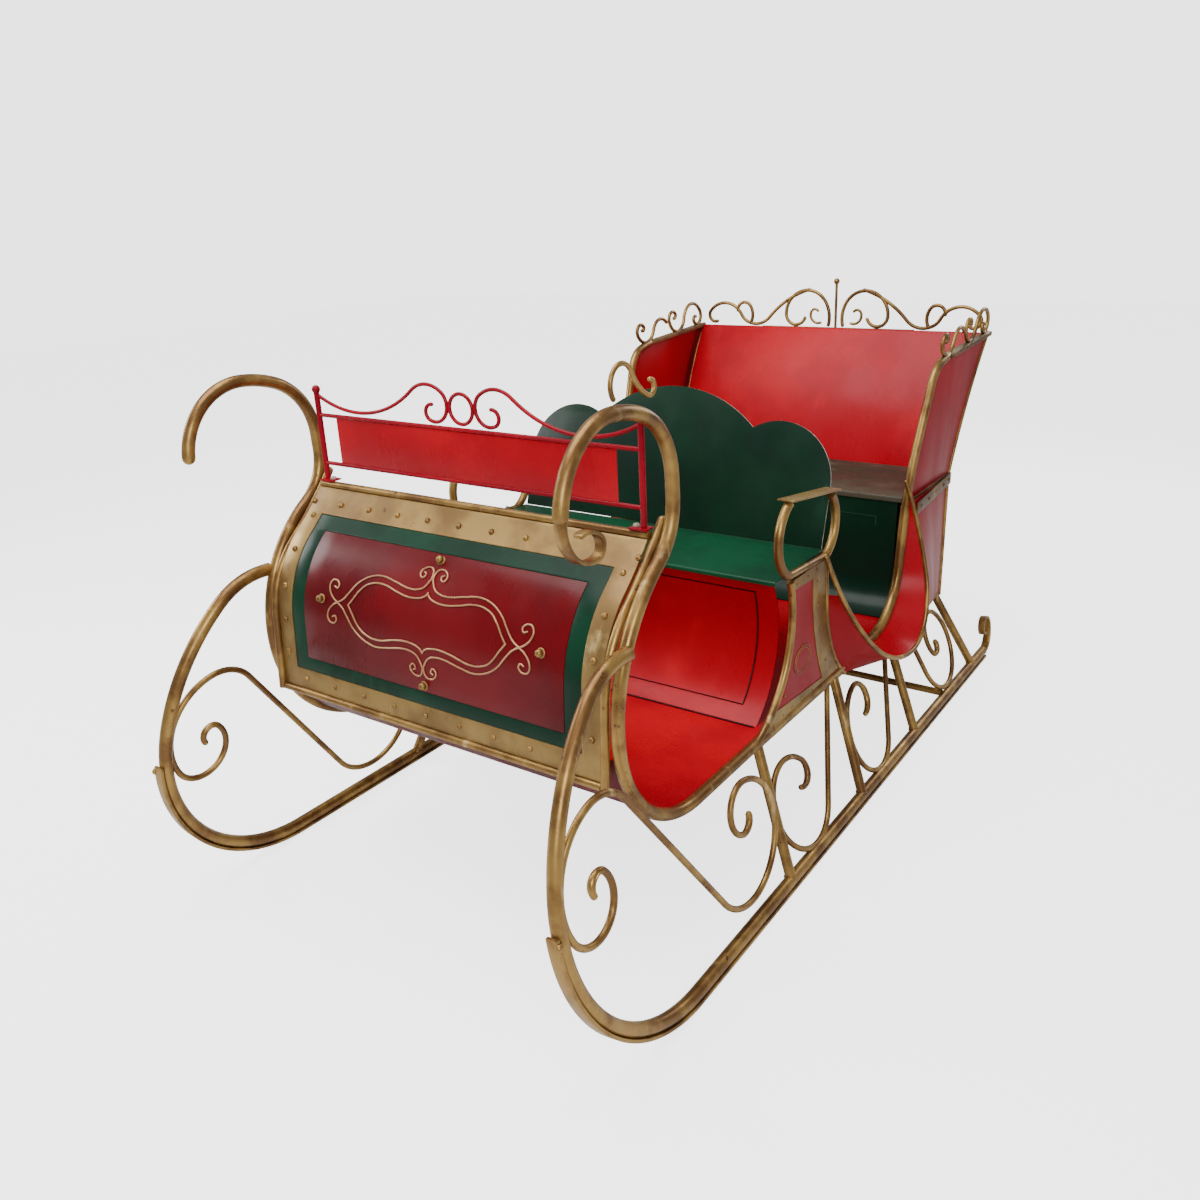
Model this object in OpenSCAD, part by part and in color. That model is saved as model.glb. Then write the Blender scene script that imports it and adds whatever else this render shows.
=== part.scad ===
// Two-seat horse drawn sleigh of bent steel tube and painted sheet.
// The front faces -Y, +X is the sleigh's left side, +Z is up, and the origin is on
// the ground under the middle. Side shapes are drawn as (y, z) paths.

/* [Runners] */
// Distance between the two runners where they touch the ground
track = 1324; // [1260:4:1380]
// Lean of each runner's plane, inwards towards the top
runner_lean = 8.2; // [6:0.1:9]
// Diameter of the runner tube
runner_d = 32; // [26:1:38]
// Thickness of the flat shoe under the runner
shoe_t = 8; // [6:1:12]
// Width of the flat shoe
shoe_w = 28; // [22:1:34]

/* [Body] */
// Distance between the centres of the two side tubes
side_w = 1060; // [1040:4:1080]
// Diameter of the side tubes
side_d = 30; // [24:1:34]
// Height of the floor
floor_z = 357; // [350:1:364]
// Thickness of floor, dash and seat sheets
sheet_t = 3; // [2:0.5:4]
// Diameter of the dash edge tubes
dash_edge_d = 20; // [16:1:22]
// Width of the dash between its edge tubes
dash_w = 984; // [964:4:1000]

/* [Seats] */
// Height of the seat pans
seat_z = 752; // [740:1:765]
// Height of the rear seat pan
rear_seat_z = 742; // [730:1:755]
// Lean of the front backrest from upright
back_lean = 16.3; // [12:0.1:20]
// Diameter of the armrest tubes
arm_d = 24; // [18:1:28]

/* [Ironwork] */
// Diameter of the stanchions
post_d = 28; // [22:1:32]
// Diameter of the scroll bars
scroll_d = 16; // [12:1:20]
// Diameter of the crest bars
crest_d = 13; // [10:1:16]

/* [Hidden] */
$fn = 48;

// ---- colours
gold = [0.66, 0.50, 0.22];
red = [0.70, 0.05, 0.08];
dark_red = [0.52, 0.06, 0.09];
pink_red = [0.66, 0.16, 0.20];
dark_green = [0.03, 0.17, 0.10];
light_green = [0.05, 0.33, 0.18];
olive = [0.36, 0.31, 0.22];

weld = 1;
facet = 4;
side_x = side_w / 2;
track_x = track / 2;
post_lean = 22;

// ---- paths -------------------------------------------------------------------
// A path is a start [u, v, heading] and steps: [length] or [radius, turn], where a
// positive turn goes to the left.
function step_end(p, s) =
    len(s) == 1
    ? [p[0] + s[0] * cos(p[2]), p[1] + s[0] * sin(p[2]), p[2]]
    : let (r = sign(s[1]) * s[0])
      [p[0] - r * sin(p[2]) + r * sin(p[2] + s[1]),
       p[1] + r * cos(p[2]) - r * cos(p[2] + s[1]),
       p[2] + s[1]];

function stations(p, steps, i = 0) =
    i >= len(steps) ? [p] : concat([p], stations(step_end(p, steps[i]), steps, i + 1));

function path_end(p, steps) = stations(p, steps)[len(steps)];

// A round tube along the path, with a thin weld ring at each change of bend
module tube(start, steps, d) {
    at = stations(start, steps);
    for (i = [0 : len(steps) - 1]) {
        s = steps[i];
        translate([at[i][0], at[i][1], 0])
            rotate(at[i][2]) {
                if (len(s) == 1)
                    rotate([0, 90, 0]) cylinder(d = d, h = s[0]);
                else
                    translate([0, sign(s[1]) * s[0], 0])
                        rotate(s[1] > 0 ? -90 : 90 + s[1])
                            rotate_extrude(angle = abs(s[1])) translate([s[0], 0]) circle(d = d);
                if (i > 0)
                    rotate([0, 90, 0]) cylinder(d = d + weld, h = 2 * weld, center = true);
            }
    }
}

// Outline of a strip t thick that follows the path
function strip_side(p, steps, off) =
    let (at = stations(p, steps))
    concat(
        [[p[0] - off * sin(p[2]), p[1] + off * cos(p[2])]],
        [for (i = [0 : len(steps) - 1])
            let (s = steps[i], n = len(s) == 1 ? 1 : max(2, ceil(abs(s[1]) / facet)))
            for (k = [1 : n])
                let (q = step_end(at[i], len(s) == 1 ? [s[0] * k / n] : [s[0], s[1] * k / n]))
                [q[0] - off * sin(q[2]), q[1] + off * cos(q[2])]]);

function reversed(list) = [for (i = [len(list) - 1 : -1 : 0]) list[i]];

// A flat bar or bent sheet: w across the path's plane, t thick
module bar(start, steps, w, t)
    linear_extrude(w, center = true)
        polygon(concat(strip_side(start, steps, -t / 2), reversed(strip_side(start, steps, t / 2))));

// ---- places ------------------------------------------------------------------
// Turns a drawing in (y, z) upright at a given x
module at_side(x) translate([x, 0, 0]) rotate([90, 0, 90]) children();

// A plane that leans in towards the top; v is measured along it from its foot
module at_lean(x, z, lean) translate([x, 0, z]) rotate([0, -lean, 0]) rotate([90, 0, 90]) children();

module at_runner() at_lean(track_x, shoe_w / 2 * sin(runner_lean), runner_lean) children();
module at_posts() at_lean(track_x - 4, 30, post_lean) children();
module at_rim() at_lean(rim_x, 0, rim_lean) children();
module at_rear_side() at_lean(side_x, waist_z, -rear_flare) children();

module mirrored() mirror([1, 0, 0]) children();

module both() {
    children();
    mirrored() children();
}

// A sheet bent along a path, w wide across the sleigh
module bent_sheet(start, steps, w, t = sheet_t) at_side(0) bar(start, steps, w, t);

// A window through a sheet in the (x, z) view from the front
module front_window(w, z1, z2) translate([-w / 2, -1200, z1]) cube([w, 600, z2 - z1]);

// ---- runners -----------------------------------------------------------------
runner_v = shoe_t + runner_d / 2;
tail_y = 1215;
runner_start = [tail_y, runner_v, 180];
runner_steps = [[2130], [392, -104], [550, -36], [190, -42], [24]];
shoe_off = (runner_d + shoe_t) / 2;
shoe_steps = [[2130], [392 + shoe_off, -92]];
tail_steps = [[75, 98], [36, 172], [19, 120]];

module runner() at_runner() {
    tube(runner_start, runner_steps, runner_d);
    bar([tail_y - 6, runner_v, 0], concat([[6]], tail_steps), shoe_w, 10);
}

module runner_left() color(gold) runner();
module runner_right() color(gold) mirrored() runner();

module runner_shoes() color(gold) both() at_runner()
    bar([tail_y, shoe_t / 2, 180], shoe_steps, shoe_w, shoe_t);

// ---- side tubes, from the hook over the dash and along the floor to the waist
hook_start = [-1136, floor_z + 802, 84];
hook_steps = [[165, -86], [305, -19], [160, -67], [40], [146, -58], [372, 61], [305, 85]];
floor_run = 1092;
rear_bend = [204, 81];
side_steps = concat(hook_steps, [[floor_run], rear_bend, [193]]);

module side_tube() at_side(side_x) tube(hook_start, side_steps, side_d);

module side_tube_left() color(gold) side_tube();
module side_tube_right() color(gold) mirrored() side_tube();

// Flattened curl that ends the left hook, and the scroll welded on top of it
module hook_curl() color(gold) at_side(side_x)
    bar([hook_start[0], hook_start[1], 258], [[88, 106], [25, 136], [65, 57]], 26, 8);

module hook_ornament() color(gold) at_side(side_x)
    tube([-961, floor_z + 975, 128], [[37, -191], [111, 40], [15, 200]], 10);

// ---- dash --------------------------------------------------------------------
dash_start = [-800, 1014, 228];
dash_steps = [[900, -8], [268, 46], [190]];
edge_steps = [[1038, -11], [260, 46], [190]];

module dash_edge_tubes() color(gold) both()
    at_side(dash_w / 2 + dash_edge_d / 2) tube([-762, 1048, 231], edge_steps, dash_edge_d);

// One layer of the dash: t thick, all layers sharing their back face
module dash_layer(w, t)
    at_side(0) linear_extrude(w, center = true)
        polygon(concat(strip_side(dash_start, dash_steps, 0),
                       reversed(strip_side(dash_start, dash_steps, -t))));

module dash_rails() color(gold)
    for (at = [[-796, 1024], [-1004, 541]])
        translate([-dash_w / 2, at[0], at[1]]) rotate([0, 90, 0]) cylinder(d = 18, h = dash_w);

band_w = 884;
band_z = [602, 962];
panel_w = 796;
panel_z = [636, 933];

module dash_border() color(gold) difference() {
    dash_layer(dash_w, 5);
    front_window(band_w, band_z[0], band_z[1]);
}

module dash_band() color(dark_green) difference() {
    intersection() {
        dash_layer(dash_w, 4);
        front_window(band_w, band_z[0], band_z[1]);
    }
    front_window(panel_w, panel_z[0], panel_z[1]);
}

module dash_panel() color(dark_red) intersection() {
    dash_layer(dash_w, 3);
    front_window(panel_w, panel_z[0], panel_z[1]);
}

// ---- name board on the dash ----------------------------------------------------
board_y = -790;
board_x = 476;
board_z = [1078, 1199];
board_foot_z = 1033;

module board_frame() color(red) {
    both() {
        translate([board_x, board_y, board_foot_z]) cylinder(d = 14, h = 228);
        translate([board_x, board_y, board_foot_z + 228]) sphere(d = 22);
        translate([board_x - 30, board_y - 16, board_foot_z]) cube([44, 32, 4]);
    }
    for (z = board_z)
        translate([-board_x, board_y, z]) rotate([0, 90, 0]) cylinder(d = 10, h = 2 * board_x);
}

module board_panel() color(red)
    translate([-415, board_y - 1.5, board_z[0] + 5]) cube([830, 3, board_z[1] - board_z[0] - 10]);

module board_crest() color(red) translate([0, board_y, 0]) rotate([90, 0, 0]) {
    both() tube([-471, 1248, -28], [[293, 67], [75, -74], [39, -170], [19, -160]], 9);
    translate([0, 1246]) rotate_extrude() translate([34, 0]) circle(d = 9);
}

// ---- floor and front seat ------------------------------------------------------
module floor_pan() color(red)
    bent_sheet([-984.7, floor_z + 243, -78], [[305, 78], [1728]], side_w - side_d - 2);

module front_seat_riser() color(red)
    bent_sheet([-224, seat_z - 12, 303], [[275, -93]], 980);

front_pan_y = [-262, 32];
pan_w = side_w - 26;
lip_h = 18;

// A seat pan: a flat sheet with its front edge folded down
module seat_pan(y, z, w) {
    translate([-w / 2, y[0], z - sheet_t]) cube([w, y[1] - y[0], sheet_t]);
    translate([-w / 2, y[0], z - lip_h]) cube([w, sheet_t, lip_h]);
}

module front_seat_pan() color(light_green) seat_pan(front_pan_y, seat_z, pan_w);

lobe_x = 346;
lobe_r = 165;
back_t = 4;

module front_backrest() color(dark_green)
    translate([0, front_pan_y[1] + back_t, seat_z]) rotate([90 - back_lean, 0, 0]) linear_extrude(back_t)
        union() {
            intersection() {
                translate([0, 22]) circle(r = 386, $fn = 96);
                translate([-250, 60]) square([500, 400]);
            }
            for (side = [-1, 1]) translate([side * lobe_x, 168]) circle(r = lobe_r, $fn = 96);
            translate([-lobe_x - lobe_r, 0]) square([2 * (lobe_x + lobe_r), 168]);
        }

// ---- seat boxes and armrests ---------------------------------------------------
box_front = [-409, floor_z - 3, 16];
box_front_steps = [[299, 93]];
box_rear = [7, 740, 276];
box_rear_steps = [[146], [383, 46]];
window_front = [-285, 406, 54];
window_front_steps = [[519, 36]];
window_rear = [-75, 706, 269];
window_rear_steps = [[639, 30]];

module window_outline()
    polygon(concat(strip_side(window_front, window_front_steps, 0),
                   strip_side(window_rear, window_rear_steps, 0)));

module seat_box_frame() {
    at_side(side_x + 3) linear_extrude(5) difference() {
        polygon(concat([[box_front[0], floor_z - 14]],
                       strip_side(box_front, box_front_steps, 0),
                       strip_side(box_rear, box_rear_steps, 0)));
        window_outline();
    }
    at_side(side_x + 4) tube(box_front, box_front_steps, 20);
    at_side(side_x + 6) tube(box_rear, box_rear_steps, 14);
}

module seat_box_frames() color(gold) both() seat_box_frame();

module seat_box_panels() color(red) both() at_side(side_x + 4) linear_extrude(2) window_outline();

arm_x = side_x + 4;
arm_front = [-222, 760, 155];
arm_rear = [8, 745, 22];

module armrest() at_side(arm_x) {
    tube(arm_front, [[105, -128]], arm_d);
    tube(arm_rear, [[96, 120]], arm_d);
    tube([-222, 758, -3.5], [[231]], 20);
}

module armrest_left() color(gold) armrest();
module armrest_right() color(gold) mirrored() armrest();

module arm_plates() color(gold) both() at_side(arm_x)
    bar([-246, 962, -8], [[296]], 46, 5);

// ---- rear seat -----------------------------------------------------------------
rear_pan_y = [650, 1032];
rear_y = 1048;

module rear_seat_riser() color(dark_green)
    bent_sheet([rear_pan_y[0] + 6, rear_seat_z - lip_h - 1, -92], [[255], [110, -80]], 996);

module rear_seat_pan() color(olive) seat_pan(rear_pan_y, rear_seat_z, pan_w - 6);

back_edge = [1287, -23];

// Everything outside the two flared rear sides
module outside_rear() both() at_rear_side() translate([0, -40, -4]) cube([1500, 600, 200]);

module rear_back_panel() color(red) difference() {
    bent_sheet([rear_y - 10, waist_z, 74], [back_edge], side_w + 100);
    outside_rear();
}

module rear_lower_panel() color(dark_red)
    translate([-side_w / 2 + 10, rear_y - 12, 285]) cube([side_w - 20, sheet_t, waist_z - 290]);

// ---- rear sides ----------------------------------------------------------------
waist_z = floor_z + 363;
rear_flare = 3.6;
side_front = [638, 0, 81];
side_front_steps = [[113], [300, -11], [208], [95, -58], [60]];
side_rear = [rear_y, 0, 74];

module rear_side() at_rear_side() linear_extrude(sheet_t)
    polygon(concat(strip_side(side_front, side_front_steps, 0),
                   reversed(strip_side(side_rear, [back_edge], 0))));

module rear_side_left() color(pink_red) rear_side();
module rear_side_right() color(pink_red) mirrored() rear_side();

module rear_edge_tube() at_rear_side() tube(side_front, side_front_steps, 26);

module rear_edge_tube_left() color(gold) rear_edge_tube();
module rear_edge_tube_right() color(gold) mirrored() rear_edge_tube();

module corner_posts() color(gold) both() {
    at_rear_side() tube(side_rear, [back_edge], 16);
    at_side(side_x) tube([rear_y, 283, 90], [[waist_z - 283]], 16);
    translate([side_x, rear_y, waist_z]) sphere(d = 19);
}

module waist_straps() color(gold) both() at_side(side_x + 5)
    bar([628, waist_z - 6, 0], [[428]], 4, 38);

top_front = path_end(side_front, side_front_steps);
top_rear = path_end(side_rear, [back_edge]);
top_run = norm([top_rear[0] - top_front[0], top_rear[1] - top_front[1]]);
top_turn = atan2(top_rear[1] - top_front[1], top_rear[0] - top_front[0]);

module side_top_strips() color(gold) both() at_rear_side() translate([0, 0, 4])
    bar([top_front[0], top_front[1], top_turn], [[top_run]], 14, 26);

// ---- swelled rear foot well ----------------------------------------------------
rim_lean = 13.5;
rim_x = side_x + 200;
rim_start = [-21, 769, 284];
rim_steps = [[669, 33], [384, 42], [213, 84], [674, 26]];

// Even samples along a path, as points in (u, v)
function samples(p, steps, n) =
    let (at = stations(p, steps),
         len = [for (s = steps) len(s) == 1 ? s[0] : s[0] * abs(s[1]) * PI / 180],
         total = [for (i = 0, t = 0; i <= len(steps); t = t + (i < len(steps) ? len[i] : 0), i = i + 1) t])
    [for (k = [0 : n])
        let (d = total[len(steps)] * k / n,
             i = max([for (j = [0 : len(steps) - 1]) if (total[j] <= d + 0.001) j]),
             f = min(1, (d - total[i]) / len[i]), s = steps[i],
             q = step_end(at[i], len(s) == 1 ? [s[0] * f] : [s[0], s[1] * f]))
        [q[0], q[1]]];

function on_rim(p) = [rim_x - p[1] * sin(rim_lean), p[0], p[1] * cos(rim_lean)];

// A closed skin between two rows of points, shifted by `back` for its thickness
module ruled_sheet(a, b, back) {
    n = len(a);
    pts = concat(a, b, [for (p = a) p + back], [for (p = b) p + back]);
    polyhedron(points = pts, faces = concat(
        [for (i = [0 : n - 2]) each [[i, i + 1, n + i + 1], [i, n + i + 1, n + i]]],
        [for (i = [0 : n - 2])
            each [[2 * n + i, 3 * n + i + 1, 2 * n + i + 1], [2 * n + i, 3 * n + i, 3 * n + i + 1]]],
        [for (i = [0 : n - 2])
            each [[i, 2 * n + i + 1, i + 1], [i, 2 * n + i, 2 * n + i + 1]]],
        [for (i = [0 : n - 2])
            each [[n + i, n + i + 1, 3 * n + i + 1], [n + i, 3 * n + i + 1, 3 * n + i]]],
        [[0, n, 3 * n], [0, 3 * n, 2 * n],
         [n - 1, 3 * n - 1, 4 * n - 1], [n - 1, 4 * n - 1, 2 * n - 1]]));
}

module step_rims() color(gold) both() at_rim() tube(rim_start, rim_steps, 14);

rim_low = step_end(step_end(rim_start, rim_steps[0]), [384, 27]);
rim_bottom = step_end(step_end(rim_start, rim_steps[0]), rim_steps[1]);
rim_back = step_end(rim_bottom, [213, 51]);
rows = 20;

// Outer panel from the seat box's rear edge out to the front arm of the rim
module swell_panels() color(pink_red) both()
    ruled_sheet([for (p = samples(step_end(rim_start, [669, 11]), [[669, 22], rim_steps[1]], rows)) on_rim(p)],
                [for (p = samples(step_end(box_rear, [113]), [[33], box_rear_steps[1]], rows))
                    [side_x + 7, p[0], p[1]]],
                [-2, 2, 0.7]);

// Tread that carries the foot well's curved wall outwards to the rim
module swell_sheets() color(red) both()
    ruled_sheet([for (p = samples([330, floor_z, 0], [[76], rear_bend, [193], [72]], rows))
                    [side_x, p[0], p[1]]],
                [for (p = samples(rim_low, [[384, 15], [213, 84], [674, 26]], rows)) on_rim(p)],
                [0, 0.7 * sheet_t, -0.7 * sheet_t]);

// Outer panel from the rear arm of the rim back to the corner post
module rear_skirts() color(pink_red) both()
    ruled_sheet([for (p = samples(rim_back, [[213, 33], [674, 20]], rows)) on_rim(p)],
                [for (k = [0 : rows]) [side_x + 2, rear_y - 6, 290 + (waist_z - 296) * k / rows]],
                [-sheet_t, 0, 0]);

// ---- crests --------------------------------------------------------------------
crest_y = 1291;
crest_z = floor_z + 827;

module rear_crest_half() {
    tube([-28, crest_z, 77], [[114, 42], [86, 152], [40, 158]], crest_d);
    tube([-108, crest_z + 128, 196], [[338, 33], [80, -79], [56, -32], [83, 112], [26, 150]], crest_d);
    tube([-352, crest_z, 60], [[62, 62], [30, 150]], crest_d);
    tube([-60, crest_z + 8, 200], [[30, -130], [16, -120]], crest_d - 3);
}

module rear_crest() color(gold) translate([0, crest_y, 0]) {
    rotate([90, 0, 0]) {
        rear_crest_half();
        mirrored() rear_crest_half();
    }
    translate([0, 0, crest_z - 12]) cylinder(d = 10, h = 165);
    translate([0, 0, crest_z + 158]) sphere(d = 22);
    translate([-300, -4, crest_z - 14]) cube([600, 8, 6]);
}

module side_crests() color(gold) both() at_rear_side() translate([0, 0, 2]) {
    tube([830, 484, 334], [[9, 162], [26, 170], [62, 121], [58, -112]], crest_d);
    tube([1059, 503, 346], [[11, 157], [28, 145], [57, 146], [70, -131], [32, -165], [13, -159]], crest_d);
}

// ---- stanchions, scrolls and cross bar -------------------------------------------
post_feet = [[-436, -376], [38, 105], [476, 516]];
post_head = 352;
rear_post = [[1070, 6], [939, post_head]];

module post(foot, head)
    translate([foot[0], foot[1], 0])
        rotate(atan2(head[1] - foot[1], head[0] - foot[0]))
            rotate([0, 90, 0]) cylinder(d = post_d, h = norm(head - foot));

module stanchions() at_posts() {
    for (p = post_feet) post([p[0], 6], [p[1], post_head]);
    post(rear_post[0], rear_post[1]);
}

module stanchions_left() color(gold) stanchions();
module stanchions_right() color(gold) mirrored() stanchions();

module scrolls() {
    at_runner()
        tube([-1194, 438, 121],
             [[26, -170], [74, -195], [160, -105], [111, -66], [512], [152, 225], [64, 170], [30, 120]], scroll_d);
    at_posts() {
        tube([54, 338, 233], [[341], [143, -121], [117, -158], [38, -162]], scroll_d);
        tube([504, 352, 235], [[356], [122, -127], [139, -100], [49, -180]], scroll_d);
        tube([629, 352, 285], [[241], [133, 216], [78, 168], [27, 160]], scroll_d);
    }
}

module scrolls_left() color(gold) scrolls();
module scrolls_right() color(gold) mirrored() scrolls();

module cross_bar() color(gold)
    translate([-track_x + 14, 775, 36]) rotate([0, 90, 0]) cylinder(d = 24, h = track - 28);

runner_left();
runner_right();
runner_shoes();
side_tube_left();
side_tube_right();
dash_edge_tubes();
dash_rails();
dash_border();
dash_band();
dash_panel();
board_frame();
board_panel();
board_crest();
floor_pan();
front_seat_riser();
front_seat_pan();
front_backrest();
seat_box_frames();
seat_box_panels();
armrest_left();
armrest_right();
arm_plates();
rear_seat_riser();
rear_seat_pan();
rear_back_panel();
rear_lower_panel();
rear_side_left();
rear_side_right();
rear_edge_tube_left();
rear_edge_tube_right();
corner_posts();
waist_straps();
side_top_strips();
swell_panels();
swell_sheets();
rear_skirts();
step_rims();
rear_crest();
side_crests();
stanchions_left();
stanchions_right();
scrolls_left();
scrolls_right();
cross_bar();
hook_curl();
hook_ornament();
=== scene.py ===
import math

import bmesh
import bpy
from mathutils import Matrix, Vector


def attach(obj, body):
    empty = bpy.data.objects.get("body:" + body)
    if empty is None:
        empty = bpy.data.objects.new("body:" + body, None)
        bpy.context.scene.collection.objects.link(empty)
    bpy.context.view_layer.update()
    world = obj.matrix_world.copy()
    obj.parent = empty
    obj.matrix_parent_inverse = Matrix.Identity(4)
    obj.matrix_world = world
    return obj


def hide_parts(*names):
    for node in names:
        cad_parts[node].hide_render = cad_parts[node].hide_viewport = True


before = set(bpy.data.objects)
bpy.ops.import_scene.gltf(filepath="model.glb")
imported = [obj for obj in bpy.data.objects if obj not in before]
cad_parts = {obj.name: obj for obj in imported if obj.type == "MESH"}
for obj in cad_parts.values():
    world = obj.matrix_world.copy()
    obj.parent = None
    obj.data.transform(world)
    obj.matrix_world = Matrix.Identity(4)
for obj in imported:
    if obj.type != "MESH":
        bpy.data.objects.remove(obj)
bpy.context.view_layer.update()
link = bpy.context.scene.collection.objects.link

# lengths are written in mm, the finished meshes are in metres
sides = {"Left": 1, "Right": -1}
both = (1, -1)
floorZ = 357
waistZ = floorZ + 363
sideX = 530  # the side tubes' middle


def atSide(x):  # a place in an upright plane along the sleigh
    return lambda u, v, w=0: Vector((x + w, u, v)) / 1000


def atLean(x, z, lean):  # the same, leaning outward by so many degrees
    c, s = math.cos(math.radians(lean)), math.sin(math.radians(lean))
    return lambda u, v, w=0: Vector((x + w * c - v * s, u, z + w * s + v * c)) / 1000


def atFront(y):  # a place in an upright plane across the sleigh
    return lambda u, v, w=0: Vector((u, y - w, v)) / 1000


def onSide(place, side):  # the same place on the left (1) or the right (-1)
    def there(u, v, w=0):
        p = place(u, v, w)
        return Vector((p.x * side, p.y, p.z))
    return there


def stepEnd(p, step):  # a step is [length], or [bend radius, degrees]
    x, y, h = p
    a = math.radians(h)
    if len(step) == 1:
        return (x + step[0] * math.cos(a), y + step[0] * math.sin(a), h)
    r, b = math.copysign(step[0], step[1]), math.radians(h + step[1])
    return (x - r * math.sin(a) + r * math.sin(b), y + r * math.cos(a) - r * math.cos(b), h + step[1])


def walk(start, steps, gap=9, turn=6):  # the points of a path, each (along, up, heading)
    points = [tuple(start)]
    for step in steps:
        here = points[-1]
        if len(step) == 1:
            n = max(1, round(step[0] / 60))
            points += [stepEnd(here, [step[0] * k / n]) for k in range(1, n + 1)]
        else:
            length = step[0] * abs(math.radians(step[1]))
            n = max(2, math.ceil(length / gap), math.ceil(abs(step[1]) / turn))
            points += [stepEnd(here, [step[0], step[1] * k / n]) for k in range(1, n + 1)]
    return points


def evenly(start, steps, n):  # n + 1 points at even lengths along the path
    fine = walk(start, steps, gap=2, turn=1)
    far = [0]
    for a, b in zip(fine, fine[1:]):
        far.append(far[-1] + math.hypot(b[0] - a[0], b[1] - a[1]))
    out, j = [], 0
    for k in range(n + 1):
        want = far[-1] * k / n
        while j < len(far) - 2 and far[j + 1] < want:
            j += 1
        t = (want - far[j]) / max(far[j + 1] - far[j], 1e-9)
        out.append(tuple(a + (b - a) * t for a, b in zip(fine[j], fine[j + 1])))
    return out


def beside(p, off):  # off to the left of the path
    a = math.radians(p[2])
    return (p[0] - off * math.sin(a), p[1] + off * math.cos(a))


goldLook = dict(base=(0.4, 0.235, 0.064), shade=(0.19, 0.092, 0.026), worn=(0.075, 0.028, 0.012),
                pale=(0.72, 0.52, 0.22), patch=9.0, speck=38.0, wearAt=0.64, metal=0.72, rough=0.33,
                roughSpan=0.16, bump=0.14, coat=0.05, shine=0.5)
redLook = dict(patch=2.6, speck=30.0, wearAt=0.79, metal=0, rough=0.26, roughSpan=0.12, bump=0.02, coat=0.03,
               shine=0.16)
paints = {
    "goldTube": goldLook,
    "goldSheet": dict(goldLook, base=(0.36, 0.225, 0.066), shade=(0.21, 0.118, 0.034), patch=6.0, speck=26.0,
                      wearAt=0.66, metal=0.58, rough=0.4, bump=0.18),
    "pinkGold": dict(goldLook, base=(0.6, 0.34, 0.16), shade=(0.45, 0.22, 0.1), wearAt=0.72, metal=0.55),
    "oldGoldStrip": dict(goldLook, base=(0.24, 0.15, 0.055), shade=(0.13, 0.07, 0.025), pale=(0.42, 0.3, 0.12),
                         wearAt=0.58, metal=0.45, rough=0.46),
    "brightRed": dict(redLook, base=(0.5, 0.001, 0.01), shade=(0.37, 0.001, 0.009), worn=(0.22, 0.004, 0.008),
                      pale=(0.56, 0.004, 0.014)),
    "dashRed": dict(redLook, base=(0.15, 0.0, 0.003), shade=(0.09, 0.0, 0.002), worn=(0.05, 0.002, 0.004),
                    pale=(0.175, 0.004, 0.008), patch=2.2, rough=0.3, coat=0.08, shine=0.2),
    "boardRed": dict(redLook, base=(0.34, 0.002, 0.012), shade=(0.24, 0.002, 0.01), worn=(0.13, 0.004, 0.01),
                     pale=(0.5, 0.02, 0.03), patch=4.0),
    "pinkRed": dict(redLook, base=(0.4, 0.002, 0.01), shade=(0.3, 0.002, 0.008), worn=(0.14, 0.006, 0.01),
                    pale=(0.44, 0.02, 0.03), patch=2.4, rough=0.34),
    "darkRed": dict(redLook, base=(0.14, 0.002, 0.006), shade=(0.09, 0.002, 0.005), worn=(0.025, 0.003, 0.004),
                    pale=(0.14, 0.008, 0.012), patch=4.0, rough=0.38),
    "bottleGreen": dict(redLook, base=(0.004, 0.026, 0.012), shade=(0.003, 0.017, 0.009),
                        worn=(0.002, 0.008, 0.005), pale=(0.01, 0.044, 0.024), patch=3.0, rough=0.34, coat=0.05,
                        shine=0.18),
    "bandGreen": dict(redLook, base=(0.004, 0.04, 0.018), shade=(0.003, 0.025, 0.012), worn=(0.003, 0.016, 0.009),
                      pale=(0.008, 0.056, 0.026), patch=4.0, rough=0.34),
    "seatGreen": dict(redLook, base=(0.005, 0.066, 0.027), shade=(0.004, 0.042, 0.018), worn=(0.003, 0.018, 0.01),
                      pale=(0.012, 0.11, 0.05), patch=3.0, rough=0.3),
    "oliveBrown": dict(redLook, base=(0.072, 0.062, 0.04), shade=(0.042, 0.035, 0.022), worn=(0.018, 0.013, 0.008),
                       pale=(0.13, 0.11, 0.075), patch=4.0, wearAt=0.64, rough=0.46, roughSpan=0.18, bump=0.06),
    # near-black painted shade: the groove of the front riser's pressed line, the gap at that riser's foot and the
    # inside of the seat boxes
    "paintedShadeDark": dict(redLook, base=(0.03, 0.002, 0.003), shade=(0.018, 0.001, 0.002),
                        worn=(0.01, 0.001, 0.001), pale=(0.06, 0.004, 0.006), rough=0.4),
    # pale silver, on the board's bolts and on the backrest's rim faces
    "paleSilver": dict(redLook, base=(0.62, 0.55, 0.48), shade=(0.42, 0.3, 0.24), worn=(0.2, 0.1, 0.08),
                    pale=(0.8, 0.76, 0.7), patch=30.0, speck=60.0, wearAt=0.62, metal=0.3, rough=0.45, coat=0),
}
# what all the paints share: where each layer fades in, and the fine relief
brush = dict(patchFade=(0.40, 0.62), streakFade=(0.60, 0.78), roughFade=(0.30, 0.72), wearFade=(-0.03, 0.04),
             streakScale=2.2, streakStretch=(1.0, 1.0, 0.22), grain=420, grainShare=0.35, reliefDepth=0.002,
             coatRough=0.16)


def setInputs(node, values):
    for key, value in values.items():
        node.inputs[key].default_value = value
    return node


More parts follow.
